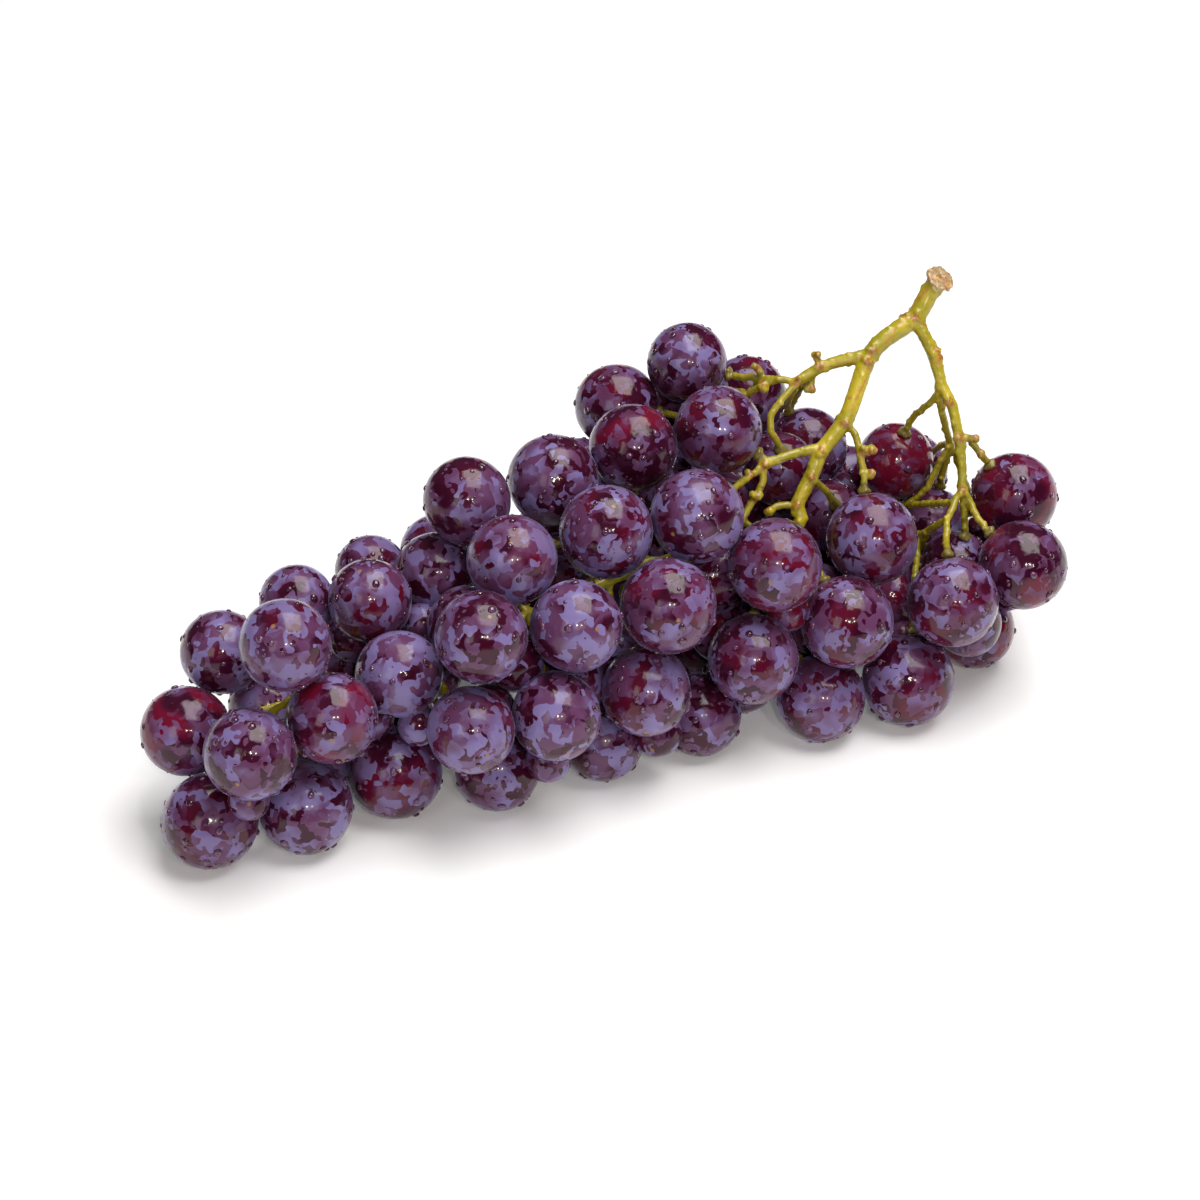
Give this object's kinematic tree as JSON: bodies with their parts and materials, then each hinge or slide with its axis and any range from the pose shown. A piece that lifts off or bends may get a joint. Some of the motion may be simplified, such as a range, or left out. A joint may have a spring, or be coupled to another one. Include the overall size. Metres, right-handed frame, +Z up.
{
  "type": "bunch of grapes",
  "caption": "Bunch of round dark purple grapes with a branching green stem, lying on its side with the cut stem end raised.",
  "frame": {"origin": "on the surface that the bunch lies on, under the middle of its box", "axes": "+X along the bunch from its tip to its stem end, +Y to its far side, +Z up"},
  "size_m": [0.2706, 0.12, 0.1117],
  "materials": {
    "grape_skin": "thin dark purple skin with a pale waxy bloom in patches and drops of water",
    "stem": "yellow-green, with red-brown marks at the knots and a dry tan cut end"
  },
  "bodies": {
    "root": {"grape_01": "grape_skin", "grape_02": "grape_skin", "grape_03": "grape_skin", "grape_04": "grape_skin", "grape_05": "grape_skin", "grape_06": "grape_skin", "grape_07": "grape_skin", "grape_08": "grape_skin", "grape_09": "grape_skin", "grape_10": "grape_skin", "grape_11": "grape_skin", "grape_12": "grape_skin", "grape_13": "grape_skin", "grape_14": "grape_skin", "grape_15": "grape_skin", "grape_16": "grape_skin", "grape_17": "grape_skin", "grape_18": "grape_skin", "grape_19": "grape_skin", "grape_20": "grape_skin", "grape_21": "grape_skin", "grape_22": "grape_skin", "grape_23": "grape_skin", "grape_24": "grape_skin", "grape_25": "grape_skin", "grape_26": "grape_skin", "grape_27": "grape_skin", "grape_28": "grape_skin", "grape_29": "grape_skin", "grape_30": "grape_skin", "grape_31": "grape_skin", "grape_32": "grape_skin", "grape_33": "grape_skin", "grape_34": "grape_skin", "grape_35": "grape_skin", "grape_36": "grape_skin", "grape_37": "grape_skin", "grape_38": "grape_skin", "grape_39": "grape_skin", "grape_40": "grape_skin", "grape_41": "grape_skin", "grape_42": "grape_skin", "grape_43": "grape_skin", "grape_44": "grape_skin", "grape_45": "grape_skin", "grape_46": "grape_skin", "grape_47": "grape_skin", "grape_48": "grape_skin", "grape_49": "grape_skin", "deep_grape_01": "grape_skin", "grape_spray_02": "grape_skin", "deep_grape_03": "grape_skin", "grape_spray_04": "grape_skin", "grape_spray_05": "grape_skin", "grape_spray_06": "grape_skin", "grape_spray_07": "grape_skin", "grape_spray_08": "grape_skin", "grape_spray_09": "grape_skin", "grape_spray_10": "grape_skin", "stem": "stem"}
  },
  "joints": []
}
